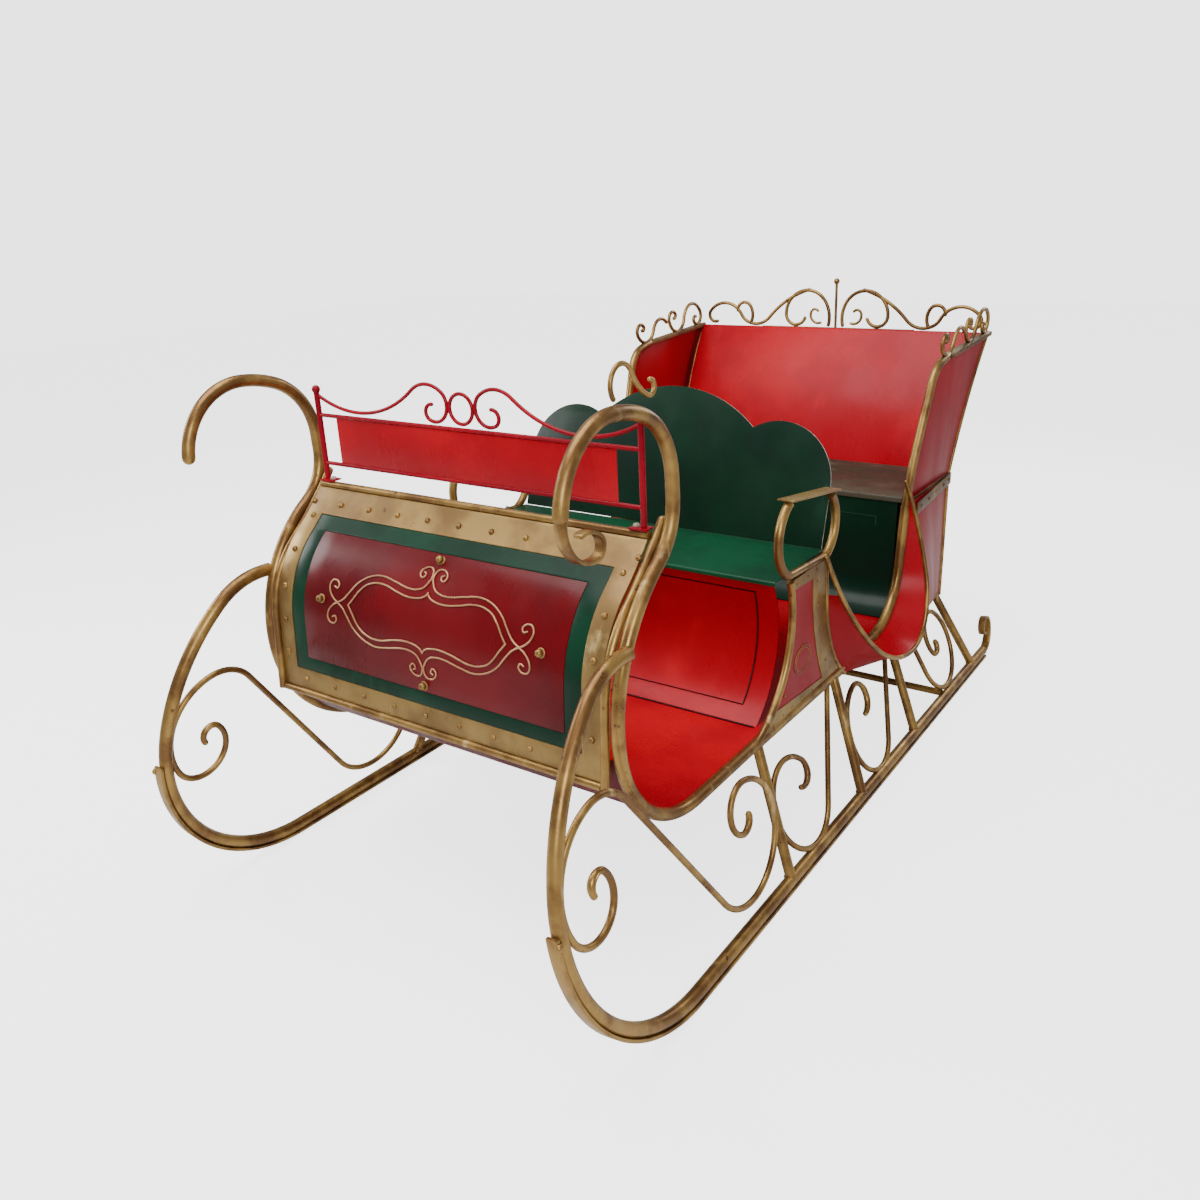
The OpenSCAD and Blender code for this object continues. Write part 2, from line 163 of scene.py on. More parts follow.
def makePaint(name, look):
    mat = bpy.data.materials.new(name)
    mat.use_nodes = True
    nodes, links = mat.node_tree.nodes, mat.node_tree.links
    shader = nodes["Principled BSDF"]
    coord = nodes.new("ShaderNodeTexCoord")

    def noise(scale, detail, rough, stretch=None):
        node = setInputs(nodes.new("ShaderNodeTexNoise"), {"Scale": scale, "Detail": detail, "Roughness": rough})
        if stretch:
            mapping = setInputs(nodes.new("ShaderNodeMapping"), {"Scale": stretch})
            links.new(coord.outputs["Object"], mapping.inputs["Vector"])
            links.new(mapping.outputs["Vector"], node.inputs["Vector"])
        else:
            links.new(coord.outputs["Object"], node.inputs["Vector"])
        return node.outputs["Fac"]

    def ramp(fac, low, high):
        node = setInputs(nodes.new("ShaderNodeMapRange"), {"From Min": low, "From Max": high})
        node.interpolation_type = "SMOOTHSTEP"
        links.new(fac, node.inputs["Value"])
        return node.outputs["Result"]

    def mix(fac, a, b):
        node = nodes.new("ShaderNodeMix")
        node.data_type = "RGBA"
        links.new(fac, node.inputs["Factor"])
        for socket, value in ((node.inputs[6], a), (node.inputs[7], b)):
            if isinstance(value, tuple):
                socket.default_value = (*value, 1)
            else:
                links.new(value, socket)
        return node.outputs[2]

    broad = noise(look["patch"], 4, 0.55)
    streak = noise(look["patch"] * brush["streakScale"], 5, 0.6, brush["streakStretch"])
    speck = noise(look["speck"], 9, 0.72)
    grain = noise(brush["grain"], 3, 0.6)
    body = mix(ramp(broad, *brush["patchFade"]), look["shade"], look["base"])
    body = mix(ramp(streak, *brush["streakFade"]), body, look["pale"])
    body = mix(ramp(speck, *(look["wearAt"] + d for d in brush["wearFade"])), body, look["worn"])
    links.new(body, shader.inputs["Base Color"])
    rough = setInputs(nodes.new("ShaderNodeMapRange"), {"To Min": look["rough"] - look["roughSpan"] / 2,
                                                        "To Max": look["rough"] + look["roughSpan"]})
    links.new(ramp(streak, *brush["roughFade"]), rough.inputs["Value"])
    links.new(rough.outputs["Result"], shader.inputs["Roughness"])
    setInputs(shader, {"Metallic": look["metal"], "Specular IOR Level": look["shine"],
                       "Coat Weight": look["coat"], "Coat Roughness": brush["coatRough"]})
    relief = nodes.new("ShaderNodeMath")
    relief.operation = "MULTIPLY_ADD"
    relief.inputs[1].default_value = brush["grainShare"]
    links.new(grain, relief.inputs[0])
    links.new(speck, relief.inputs[2])
    bump = setInputs(nodes.new("ShaderNodeBump"), {"Strength": look["bump"], "Distance": brush["reliefDepth"]})
    links.new(relief.outputs["Value"], bump.inputs["Height"])
    links.new(bump.outputs["Normal"], shader.inputs["Normal"])
    return mat


finishes = {name: makePaint(name, look) for name, look in paints.items()}
print("paints ready:", len(finishes))


def newTree(name, sockets):
    tree = bpy.data.node_groups.new(name, "GeometryNodeTree")
    tree.is_modifier = True
    tree.interface.new_socket("Geometry", in_out="INPUT", socket_type="NodeSocketGeometry")
    for label, kind in sockets:
        tree.interface.new_socket(label, in_out="INPUT", socket_type=kind)
    tree.interface.new_socket("Geometry", in_out="OUTPUT", socket_type="NodeSocketGeometry")
    return tree, tree.nodes.new("NodeGroupInput"), tree.nodes.new("NodeGroupOutput")


def readAttribute(tree, name, kind):
    node = tree.nodes.new("GeometryNodeInputNamedAttribute")
    node.data_type = kind
    node.inputs["Name"].default_value = name
    return node.outputs["Attribute"]


def endTree(tree, geometry, start, end):  # real geometry, smooth, with its finish
    realize = tree.nodes.new("GeometryNodeRealizeInstances")
    finish = tree.nodes.new("GeometryNodeSetMaterial")
    join = tree.links.new
    join(geometry, realize.inputs["Geometry"])
    join(realize.outputs["Geometry"], finish.inputs["Geometry"])
    join(start.outputs["Finish"], finish.inputs["Material"])
    join(finish.outputs["Geometry"], end.inputs["Geometry"])


def makeBarTree():  # round bars along drawn lines
    tree, start, end = newTree("roundBars", [("Sides", "NodeSocketInt"), ("Finish", "NodeSocketMaterial")])
    join = tree.links.new
    toCurve = tree.nodes.new("GeometryNodeMeshToCurve")
    circle = setInputs(tree.nodes.new("GeometryNodeCurvePrimitiveCircle"), {"Radius": 1.0})
    sweep = setInputs(tree.nodes.new("GeometryNodeCurveToMesh"), {"Fill Caps": True})
    join(start.outputs["Geometry"], toCurve.inputs["Mesh"])
    join(start.outputs["Sides"], circle.inputs["Resolution"])
    join(circle.outputs["Curve"], sweep.inputs["Profile Curve"])
    join(toCurve.outputs["Curve"], sweep.inputs["Curve"])
    join(readAttribute(tree, "barRadius", "FLOAT"), sweep.inputs["Scale"])
    endTree(tree, sweep.outputs["Mesh"], start, end)
    return tree


def makeStudTree():  # domes, balls or bolts on points
    tree, start, end = newTree("studs", [("Sides", "NodeSocketInt"), ("Flatness", "NodeSocketFloat"),
                                         ("Finish", "NodeSocketMaterial")])
    join = tree.links.new
    ball = setInputs(tree.nodes.new("GeometryNodeMeshUVSphere"), {"Radius": 1.0, "Rings": 10})
    join(start.outputs["Sides"], ball.inputs["Segments"])
    squash = setInputs(tree.nodes.new("ShaderNodeCombineXYZ"), {"X": 1.0, "Y": 1.0})
    join(start.outputs["Flatness"], squash.inputs["Z"])
    shape = tree.nodes.new("GeometryNodeTransform")
    join(ball.outputs["Mesh"], shape.inputs["Geometry"])
    join(squash.outputs["Vector"], shape.inputs["Scale"])
    aim = tree.nodes.new("FunctionNodeAlignRotationToVector")
    aim.axis = "Z"
    join(readAttribute(tree, "aim", "FLOAT_VECTOR"), aim.inputs["Vector"])
    put = tree.nodes.new("GeometryNodeInstanceOnPoints")
    join(start.outputs["Geometry"], put.inputs["Points"])
    join(shape.outputs["Geometry"], put.inputs["Instance"])
    join(aim.outputs["Rotation"], put.inputs["Rotation"])
    join(readAttribute(tree, "studSize", "FLOAT"), put.inputs["Scale"])
    endTree(tree, put.outputs["Instances"], start, end)
    return tree


barTree, studTree = makeBarTree(), makeStudTree()
shown = []


def polish(mesh, sharp=38):  # merged, outward and smooth except at real edges
    bm = bmesh.new()
    bm.from_mesh(mesh)
    bmesh.ops.remove_doubles(bm, verts=bm.verts, dist=2e-6)
    bmesh.ops.recalc_face_normals(bm, faces=bm.faces)
    for face in bm.faces:
        face.smooth = True
    for edge in bm.edges:
        edge.smooth = len(edge.link_faces) == 2 and edge.calc_face_angle(0) < math.radians(sharp)
    bm.to_mesh(mesh)
    bm.free()


def show(name, mesh, nodes=(), sharp=38):
    polish(mesh, sharp)
    piece = bpy.data.objects.new(name, mesh)
    link(piece)
    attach(piece, "root")
    if nodes:
        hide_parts(*nodes)
    shown.append(piece)
    return piece


def runTree(tree, lines, **values):
    source = bpy.data.objects.new(lines.name, lines)
    link(source)
    modifier = source.modifiers.new("make", "NODES")
    modifier.node_group = tree
    for item in tree.interface.items_tree:
        if item.in_out == "INPUT" and item.name in values:
            modifier[item.identifier] = values[item.name]
    bpy.context.view_layer.update()
    result = source.evaluated_get(bpy.context.evaluated_depsgraph_get())
    mesh = bpy.data.meshes.new_from_object(result)
    source.modifiers.remove(modifier)
    bpy.data.objects.remove(source)
    return mesh


tipRings = (0.45, 0.78, 0.97)


# each line of a set of bars is a dict: place, points, r, and perhaps w, closed and tips (0 start, 1 end)
def bars(name, lines, nodes=(), finish="goldTube", facets=20):
    verts, edges, radii = [], [], []
    for one in lines:
        points = [one["place"](p[0], p[1], one.get("w", 0)) for p in one["points"]]
        r = one["r"] / 1000
        size = [r] * len(points)
        for end in one.get("tips", ()):  # a rounded end: three short rings past the last point
            a, b = (points[-1], points[-2]) if end else (points[0], points[1])
            way = (a - b).normalized()
            extra = [(a + way * r * t, r * math.sqrt(1 - t * t)) for t in tipRings]
            if end:
                points += [e[0] for e in extra]
                size += [e[1] for e in extra]
            else:
                points = [e[0] for e in reversed(extra)] + points
                size = [e[1] for e in reversed(extra)] + size
        base = len(verts)
        verts += points
        radii += size
        edges += [(base + i, base + i + 1) for i in range(len(points) - 1)]
        if one.get("closed"):
            edges.append((base + len(points) - 1, base))
    mesh = bpy.data.meshes.new(name + "Lines")
    mesh.from_pydata(verts, edges, [])
    mesh.attributes.new("barRadius", "FLOAT", "POINT").data.foreach_set("value", radii)
    return show(name, runTree(barTree, mesh, Sides=facets, Finish=finishes[finish]), nodes, 50)


def sideNode(name, label):
    return [f"{name}_{label.lower()}"]


def line(place, points, r, **more):
    return dict(place=place, points=points, r=r, **more)


def pair(place, points, r, **more):  # the same bar on the left and on the right
    return [line(onSide(place, s), points, r, **more) for s in both]


def studs(name, spots, finish="goldTube", facets=16, flatness=0.6):  # each spot: (point, direction, radius)
    mesh = bpy.data.meshes.new(name + "Points")
    mesh.from_pydata([s[0] for s in spots], [], [])
    aims = [c for s in spots for c in s[1]]
    mesh.attributes.new("aim", "FLOAT_VECTOR", "POINT").data.foreach_set("vector", aims)
    mesh.attributes.new("studSize", "FLOAT", "POINT").data.foreach_set("value", [s[2] / 1000 for s in spots])
    made = runTree(studTree, mesh, Sides=facets, Flatness=flatness, Finish=finishes[finish])
    return show(name, made, (), 30 if facets == 6 else 60)


def roundEdges(bm, size):
    edges = [e for e in bm.edges if len(e.link_faces) == 2 and e.calc_face_angle(0) > math.radians(35)]
    bmesh.ops.bevel(bm, geom=edges, offset=size / 1000, segments=2, profile=0.6, affect="EDGES",
                    clamp_overlap=True)


def finishMesh(name, bm, finish, nodes, edge=0.7, rim=None):
    bmesh.ops.remove_doubles(bm, verts=bm.verts, dist=1e-7)
    bmesh.ops.recalc_face_normals(bm, faces=bm.faces)
    if edge:
        roundEdges(bm, edge)
    mesh = bpy.data.meshes.new(name)
    bm.to_mesh(mesh)
    bm.free()
    mesh.materials.append(finishes[finish])
    if rim:  # a second paint for the sheet's rim faces, and the way the sheet faces
        mesh.materials.append(finishes[rim[0]])
        for face in mesh.polygons:
            if abs(face.normal.dot(rim[1])) < 0.75:
                face.material_index = 1
    return show(name, mesh, nodes)


def joinInto(bm, verts, faces):
    made = [bm.verts.new(v) for v in verts]
    for face in faces:
        try:
            bm.faces.new([made[i] for i in face])
        except ValueError:
            pass


def tubeFaces(n):  # the faces round n rings of four points, and both ends
    faces = [(4 * i + k, 4 * i + (k + 1) % 4, 4 * i + 4 + (k + 1) % 4, 4 * i + 4 + k)
             for i in range(n - 1) for k in range(4)]
    return faces + [(0, 3, 2, 1), tuple(4 * n - 4 + k for k in range(4))]


def strip(bm, place, start, steps, width, thick, taper=0):  # a flat bar bent along a path
    path = walk(start, steps)
    verts, n = [], len(path)
    for i, p in enumerate(path):
        w = width / 2 * (1 - taper * i / (n - 1))
        for off, side in ((-thick / 2, -w), (thick / 2, -w), (thick / 2, w), (-thick / 2, w)):
            u, v = beside(p, off)
            verts.append(place(u, v, side))
    joinInto(bm, verts, tubeFaces(n))


def plate(bm, place, loops, w0, w1):  # a flat plate, the first loop its outline and the others its openings
    flat = bmesh.new()
    edges = []
    for loop in loops:
        ring = [flat.verts.new((u, v, 0)) for u, v in loop]
        edges += [flat.edges.new((ring[i], ring[(i + 1) % len(ring)])) for i in range(len(ring))]
    bmesh.ops.triangle_fill(flat, edges=edges, use_beauty=True, use_dissolve=False)
    flat.verts.index_update()
    n = len(flat.verts)
    verts = [place(v.co.x, v.co.y, w0) for v in flat.verts] + [place(v.co.x, v.co.y, w1) for v in flat.verts]
    faces = [tuple(v.index for v in f.verts) for f in flat.faces]
    faces += [tuple(n + v.index for v in reversed(f.verts)) for f in flat.faces]
    faces += [(e.verts[0].index, e.verts[1].index, n + e.verts[1].index, n + e.verts[0].index)
              for e in flat.edges if len(e.link_faces) == 1]
    flat.free()
    joinInto(bm, verts, faces)


def shell(bm, grid, thick, keep=None):  # a skin over rows of points; thick in mm goes to its left-hand side
    rows, cols = len(grid), len(grid[0])
    normal = []
    for i in range(rows):
        for j in range(cols):
            a = grid[min(i + 1, rows - 1)][j] - grid[max(i - 1, 0)][j]
            b = grid[i][min(j + 1, cols - 1)] - grid[i][max(j - 1, 0)]
            normal.append(a.cross(b).normalized())
    verts = [grid[i][j] for i in range(rows) for j in range(cols)]
    verts += [v + k * thick / 1000 for v, k in zip(verts, normal)]
    n = rows * cols
    used = {(i, j) for i in range(rows - 1) for j in range(cols - 1) if keep is None or keep(i, j)}
    faces = []
    for i, j in used:
        a, b, c, d = i * cols + j, (i + 1) * cols + j, (i + 1) * cols + j + 1, i * cols + j + 1
        faces += [(a, b, c, d), (n + d, n + c, n + b, n + a)]
        for near, (p, q) in (((i - 1, j), (a, d)), ((i + 1, j), (b, c)),
                             ((i, j - 1), (a, b)), ((i, j + 1), (d, c))):
            if near not in used:
                faces.append((p, q, n + q, n + p))
    joinInto(bm, verts, faces)
    loose = [v for v in bm.verts if not v.link_faces]
    bmesh.ops.delete(bm, geom=loose, context="VERTS")


def acrossGrid(path, half, xs):  # rows along the path, columns across the sleigh
    return [[Vector((x * (half(p) if callable(half) else half), p[0], p[1])) / 1000 for x in xs] for p in path]


def twinPlates(name, place, loops, w, finish, nodes=(), edge=0):  # a plate on the left and on the right
    bm = bmesh.new()
    for s in both:
        plate(bm, onSide(place, s), loops, *w)
    return finishMesh(name, bm, finish, nodes, edge)


def onePlate(name, place, loop, w, finish, nodes=(), edge=0, rim=None):  # w: from and to, across the plate
    bm = bmesh.new()
    plate(bm, place, [loop], *w)
    return finishMesh(name, bm, finish, nodes, edge, rim)


def twinStrips(name, place, path, finish, nodes, edge):  # path: start, steps, width, thickness
    bm = bmesh.new()
    for s in both:
        strip(bm, onSide(place, s), *path)
    finishMesh(name, bm, finish, nodes, edge)


def box(u, v):  # a plain oblong as a loop
    return [(u[0], v[0]), (u[1], v[0]), (u[1], v[1]), (u[0], v[1])]


def even(a, b, n):  # n + 1 numbers from a to b
    return [a + (b - a) * k / n for k in range(n + 1)]


def bentPiece(name, start, steps, width, thick, finish, nodes, columns=12, edge=0.7, underShadePaint=None):
    path = walk(start, steps, gap=8, turn=3)
    path = [(*beside(p, thick / 2), p[2]) for p in path]
    bm = bmesh.new()
    shell(bm, acrossGrid(path, width / 2, even(-1, 1, columns)), thick)
    piece = finishMesh(name, bm, finish, nodes, edge)
    if underShadePaint:  # the faces turned down, and those turned forward, in another paint: a darker red on the floor pan, painted shade on its underside
        piece.data.materials.append(finishes[underShadePaint])
        for face in piece.data.polygons:
            face.material_index = 1 if face.normal.z < -0.25 or face.normal.y < -0.6 else 0
    return piece


# the runners: a leaning tube, its curled tail and the flat shoe under it
runner = dict(track=662, lean=8.2, r=16, v=24, tailY=1215, width=28,
              steps=[[2130], [392, -104], [550, -36], [190, -42], [24]],
              tailThick=10, tailTaper=0.25, tailBack=6, tailSteps=[[6], [75, 98], [36, 172], [19, 120]],
              shoe=8, shoeSteps=[[2130], [412, -92]])
inRunner = atLean(runner["track"], runner["width"] / 2 * math.sin(math.radians(runner["lean"])), runner["lean"])
for label, side in sides.items():
    place = onSide(inRunner, side)
    path = walk((runner["tailY"], runner["v"], 180), runner["steps"])
    bars("runnerTube" + label, [line(place, path, runner["r"])], sideNode("runner", label), facets=28)
    bm = bmesh.new()
    strip(bm, place, (runner["tailY"] - runner["tailBack"], runner["v"], 0), runner["tailSteps"],
          runner["width"], runner["tailThick"], runner["tailTaper"])
    finishMesh("runnerTail" + label, bm, "goldTube", (), 1.6)
shoePath = (runner["tailY"], runner["shoe"] / 2, 180), runner["shoeSteps"]
twinStrips("runnerShoes", inRunner, (*shoePath, runner["width"], runner["shoe"]), "goldTube",
           ["runner_shoes"], 1.5)
print("runners made")

# the side tubes run from the hooks to the rear foot well; only the left hook has a curl and a scroll
hook = dict(start=(-1136, floorZ + 802, 84), r=15, curlHeading=258, curlSteps=[[88, 106], [25, 136], [65, 57]],
            curlWidth=26, curlThick=8, curlTaper=0.2, scrollStart=(-961, floorZ + 975, 128),
            scrollSteps=[[37, -191], [111, 40], [15, 200]], scrollR=5,
            steps=[[165, -86], [305, -19], [160, -67], [40], [146, -58], [372, 61], [305, 85]],
            bodySteps=[[1092], [204, 81], [193]])
path = walk(hook["start"], hook["steps"] + hook["bodySteps"])
for label, side in sides.items():
    bars("sideTube" + label, [line(onSide(atSide(sideX), side), path, hook["r"], tips=[0])],
         sideNode("side_tube", label), facets=28)
bm = bmesh.new()
strip(bm, atSide(sideX), (*hook["start"][:2], hook["curlHeading"]), hook["curlSteps"], hook["curlWidth"],
      hook["curlThick"], hook["curlTaper"])
finishMesh("hookCurl", bm, "goldTube", ["hook_curl"], 2)
bars("hookOrnament", [line(atSide(sideX), walk(hook["scrollStart"], hook["scrollSteps"]), hook["scrollR"],
                           tips=[0, 1])], ["hook_ornament"], facets=14)
print("side tubes made")

# the dash: gold border, green band and dark red middle, all bent alike; each layer is (width, (low, high))
dash = dict(border=(984, (0, 2000)), band=(884, (602, 962)), middle=(796, (636, 933)), thick=(5, 3.6, 4.4),
            edgeR=10, edgeStart=(-762, 1048, 231), edgeSteps=[[1038, -11], [260, 46], [190]],
            railHalf=492, railR=9, rails=((-796, 1024), (-1004, 541)))
dashStart, dashSteps = (-800, 1014, 228), [[900, -8], [268, 46], [190]]
dashPath = walk(dashStart, dashSteps, gap=7, turn=2)
dashFine = evenly(dashStart, dashSteps, 1060)


def dashAt(z, proud=0):  # the dash's front surface at a height, and its forward direction
    p = min(dashFine, key=lambda q: abs(q[1] - z))
    y, zz = beside(p, -3 - proud)
    a = math.radians(p[2])
    return (y, zz), Vector((0, math.sin(a), -math.cos(a)))


def cutPath(path, cuts):  # the path with extra rows exactly at the cut heights
    out = []
    for a, b in zip(path, path[1:]):
        out.append(a)
        for z in sorted(cuts, reverse=True):
            if b[1] < z < a[1]:
                t = (a[1] - z) / (a[1] - b[1])
                out.append(tuple(p + (q - p) * t for p, q in zip(a, b)))
    return out + [path[-1]]


def dashLayer(name, outer, hole, thick, finish, node, edge):
    (width, (low, high)), (gap, (gapLow, gapHigh)) = outer, hole
    rows = cutPath(dashPath, (low, high, gapLow, gapHigh))
    rows = [p for p in rows if low - 0.01 <= p[1] <= high + 0.01]
    xs = sorted(set(even(-width / 2, width / 2, 16) + ([-gap / 2, gap / 2] if gap else [])))

    def keep(i, j):
        x, z = (xs[j] + xs[j + 1]) / 2, (rows[i][1] + rows[i + 1][1]) / 2
        return not (abs(x) < gap / 2 and gapLow < z < gapHigh)
    bm = bmesh.new()
    shell(bm, acrossGrid(rows, 1, xs), thick, keep)
    return finishMesh(name, bm, finish, [node], edge)


def shrunk(layer, play):  # the layer with a little play all round
    return layer[0] - 2 * play, (layer[1][0] + play, layer[1][1] - play)


noHole = (0, (0, 0))
dashLayer("dashBorder", dash["border"], dash["band"], dash["thick"][0], "goldSheet", "dash_border", 0.9)
dashLayer("dashBand", shrunk(dash["band"], 0.5), dash["middle"], dash["thick"][1], "bandGreen", "dash_band", 0.6)
dashLayer("dashMiddle", shrunk(dash["middle"], 1), noHole, dash["thick"][2], "dashRed", "dash_panel", 1.0)
bm = bmesh.new()  # one thin sheet behind all three
backing = walk(stepEnd(dashStart, [-10]), [[10]] + dashSteps, gap=7, turn=2)
shell(bm, acrossGrid(backing, dash["border"][0] / 2, even(-1, 1, 8)), -1)
finishMesh("dashBacking", bm, "goldSheet", (), 0)
edgeX = dash["border"][0] / 2 + dash["edgeR"]
bars("dashEdgeTubes", pair(atSide(edgeX), walk(dash["edgeStart"], dash["edgeSteps"]), dash["edgeR"], tips=[0]),
     ["dash_edge_tubes"])
bars("dashRails", [line(atFront(y), [(x, z) for x in (-dash["railHalf"], 0, dash["railHalf"])], dash["railR"])
                   for y, z in dash["rails"]], ["dash_rails"])

# raised wire on the dash: a quarter of each loop as (x, height on the sheet) from its middle
wire = dict(middle=282,
            outer=[(278, 0), (260, 10), (243, 28), (222, 53), (195, 72), (165, 82), (138, 83), (104, 77), (68, 70),
                   (38, 70), (16, 79), (3, 99)],
            inner=[(241, 0), (226, 18), (211, 38), (190, 56), (160, 65), (128, 64), (90, 55), (52, 50), (22, 53),
                   (6, 60), (0, 68)],
            topCurl=[(3, 99), (2, 108), (5, 119), (14, 126), (27, 125), (37, 118), (40, 108), (34, 100), (26, 102),
                     (24, 110), (30, 113)],
            sideCurl=[(278, 0), (293, 8), (306, 22), (310, 38), (303, 50), (289, 51), (280, 42), (284, 33),
                      (293, 36)],
            r=2.1, proud=1.2)
dashLength = [0]
for a, b in zip(dashFine, dashFine[1:]):
    dashLength.append(dashLength[-1] + math.hypot(a[0] - b[0], a[1] - b[1]))


def onDash(x, up, proud):
    want = wire["middle"] - up
    i = min(range(len(dashLength)), key=lambda k: abs(dashLength[k] - want))
    y, z = beside(dashFine[i], -4.4 - proud)
    return Vector((x, y, z)) / 1000


def smoothLine(points, n=5):  # a Catmull-Rom line through the points
    full = [points[0]] + list(points) + [points[-1]]
    out = []
    for k in range(len(points) - 1):
        p0, p1, p2, p3 = full[k:k + 4]
        for s in range(n):
            t = s / n
            out.append(tuple(0.5 * (2 * b + (c - a) * t + (2 * a - 5 * b + 4 * c - d) * t * t
                                    + (3 * b - a - 3 * c + d) * t ** 3) for a, b, c, d in zip(p0, p1, p2, p3)))
    return out + [tuple(points[-1])]


bars("dashWire", [line(lambda u, v, w=0: onDash(u, v, wire["proud"]),
                       smoothLine([(x * fx, up * fy) for x, up in wire[key]]), wire["r"], tips=[0, 1])
                  for fx in (1, -1) for fy in (1, -1) for key in ("outer", "inner", "topCurl", "sideCurl")],
     finish="pinkGold", facets=10)
nails = dict(top=(983, 489, 11, 7.5), low=(577, 408, 9, 6),  # height, last one's x, how many, radius
             columnX=468, columnZ=(956, 888, 808, 724, 640), columnR=7.5)


def nailsAt(z0, xs, r):
    (y, z), aim = dashAt(z0, 2)
    return [(Vector((x, y, z)) / 1000, aim, r) for x in xs]


nailSpots = []
for z0, reach, n, r in (nails["top"], nails["low"]):
    nailSpots += nailsAt(z0, even(-reach, reach, n - 1), r)
for z0 in nails["columnZ"]:
    nailSpots += nailsAt(z0, (nails["columnX"], -nails["columnX"]), nails["columnR"])
studs("dashNails", nailSpots, flatness=0.85)
balls = dict(at=[(335, 0), (-335, 0), (0, 147), (0, -147)], r=9.5, proud=6, collarR=11.5, collarProud=0.5)


def ballSpots(proud, r):
    return [(onDash(x, up, proud), (onDash(x, up, 1) - onDash(x, up, 0)).normalized(), r)
            for x, up in balls["at"]]


studs("dashBalls", ballSpots(balls["proud"], balls["r"]), facets=20, flatness=0.95)
studs("dashBallCollars", ballSpots(balls["collarProud"], balls["collarR"]), "goldSheet", 20, 0.25)
print("dash made")

# the board stands on the dash between two posts; each box is (from, to) across and up
board = dict(y=-790, x=476, rodZ=(1078, 1199), footZ=1033, postTall=228, postR=7, rodR=5, ballR=10.5,
             footBox=((446, 490), (1033, 1037)), footDeep=(-16, 16), boltX=457, boltZ=1039, boltR=8,
             panelBox=((-415, 415), (1083, 1194)), panelThick=(-1.5, 1.5), crestR=4.5, crestStart=(-471, 1248, -28),
             crestSteps=[[293, 67], [75, -74], [39, -170], [19, -160]], ringR=34, ringZ=1246)
straightUp = Vector((0, 0, 1))
onBoard = atFront(board["y"])


def ring(u, v, ru, rv, n):  # n points round an oval
    return [(u + ru * math.cos(2 * t * math.pi / n), v + rv * math.sin(2 * t * math.pi / n)) for t in range(n)]


topZ = board["footZ"] + board["postTall"]
posts = [line(atSide(s * board["x"]), [(board["y"], board["footZ"]), (board["y"], topZ)], board["postR"])
         for s in both]
rods = [line(onBoard, [(-board["x"], z), (board["x"], z)], board["rodR"]) for z in board["rodZ"]]
bars("boardFrame", posts + rods, ["board_frame"], "boardRed")
studs("boardPostBalls", [(onBoard(s * board["x"], topZ + 1), straightUp, board["ballR"]) for s in both],
      "boardRed", flatness=1)
twinPlates("boardFeet", onBoard, [box(*board["footBox"])], board["footDeep"], "boardRed", edge=0.8)
studs("boardBolts", [(onBoard(s * board["boltX"], board["boltZ"]), straightUp, board["boltR"]) for s in both],
      "paleSilver", facets=6, flatness=0.7)
onePlate("boardPanel", onBoard, box(*board["panelBox"]), board["panelThick"], "brightRed", ["board_panel"], 0.7)
bars("boardCrest", pair(onBoard, walk(board["crestStart"], board["crestSteps"]), board["crestR"], tips=[1])
     + [line(onBoard, ring(0, board["ringZ"], board["ringR"], board["ringR"], 48), board["crestR"], closed=True)],
     ["board_crest"], "boardRed", facets=14)
print("board made")

# the floor, with its front bent up behind the dash, and the front seat
sheet = 3
floorPan = dict(start=(-984.7, floorZ + 243, -78), steps=[[305, 78], [1728]], width=1028)
frontRiser = dict(start=(-224, 740, 303), steps=[[275, -93]], width=980)
frontPan = dict(y=(-262, 32), z=752, width=1034, lip=12, roll=5)
# the floor pan's underside is painted darker red as painted shade
bentPiece("floorPan", *floorPan.values(), sheet, "brightRed", ["floor_pan"], underShadePaint="darkRed")
bentPiece("frontRiser", *frontRiser.values(), sheet, "brightRed", ["front_seat_riser"])


def seatPan(name, pan, finish, node):  # a sheet whose front edge is rolled down
    half = sheet / 2
    steps = [[pan["y"][1] - pan["y"][0] - pan["roll"]], [pan["roll"], 90], [pan["lip"] - pan["roll"] - half]]
    bentPiece(name, (pan["y"][1], pan["z"] - half, 180), steps, pan["width"], sheet, finish, [node], 8)


seatPan("frontPan", frontPan, "seatGreen", "front_seat_pan")
backrest = dict(y=36, z=752, lean=16.3, lobeX=346, lobeR=165, lobeV=168, midV=22, midR=386, thick=4)


def backrestOutline():  # a wide middle arc between two lobes
    b = backrest
    d = b["lobeX"]

    def onMid(a):
        return b["midR"] * math.sin(math.radians(a)), b["midV"] + b["midR"] * math.cos(math.radians(a))

    def offLobe(a):
        return abs(math.hypot(onMid(a)[0] - d, onMid(a)[1] - b["lobeV"]) - b["lobeR"])

    meet = min((k / 10 for k in range(900)), key=offLobe)
    top = math.degrees(math.atan2(onMid(meet)[1] - b["lobeV"], onMid(meet)[0] - d))
    lobe = [(d + b["lobeR"] * math.cos(math.radians(a)), b["lobeV"] + b["lobeR"] * math.sin(math.radians(a)))
            for a in even(0, top, 30)]
    right = [(d + b["lobeR"], 0)] + lobe + [onMid(a) for a in even(meet, 0, 20)[1:]]
    return right + [(-u, v) for u, v in reversed(right[:-1])]


leanBack = math.radians(backrest["lean"])


def onBack(u, v, w=0):
    return Vector((u, backrest["y"] + v * math.sin(leanBack) - w * math.cos(leanBack),
                   backrest["z"] + v * math.cos(leanBack) + w * math.sin(leanBack))) / 1000


backAxis = Vector((0, -math.cos(leanBack), math.sin(leanBack)))
# the backrest's rim faces in pale silver
onePlate("frontBackrest", onBack, backrestOutline(), (0, backrest["thick"]), "bottleGreen",
         ["front_backrest"], 0.8, ("paleSilver", backAxis))
print("front seat made")

